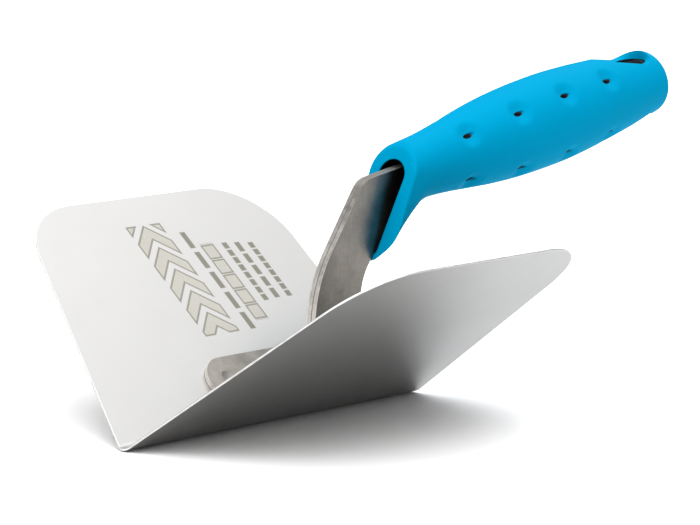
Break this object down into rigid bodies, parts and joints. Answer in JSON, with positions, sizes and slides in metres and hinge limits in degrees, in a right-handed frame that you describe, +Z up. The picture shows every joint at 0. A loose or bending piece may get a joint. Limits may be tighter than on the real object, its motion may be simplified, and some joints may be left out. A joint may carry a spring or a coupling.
{
  "type": "inside corner trowel",
  "caption": "Inside corner trowel with a folded stainless steel blade, a pressed steel tang and a blue soft-grip handle with a hang hole.",
  "frame": {"origin": "middle of the working edge, on the outside of the blade's fold", "axes": "+X along the working edge towards the toe, +Y towards the left wing, +Z up, midway between the two wings"},
  "size_m": [0.2393, 0.1458, 0.0998],
  "materials": {
    "blade_steel": "satin",
    "tang_steel": "tumbled, dull",
    "core_plastic": "matte",
    "grip_rubber": "soft satin"
  },
  "bodies": {
    "root": {"blade": "blade_steel", "tang_left": "tang_steel", "tang_right": "tang_steel", "handle_core": "core_plastic", "grip_sleeve": "grip_rubber"}
  },
  "joints": []
}
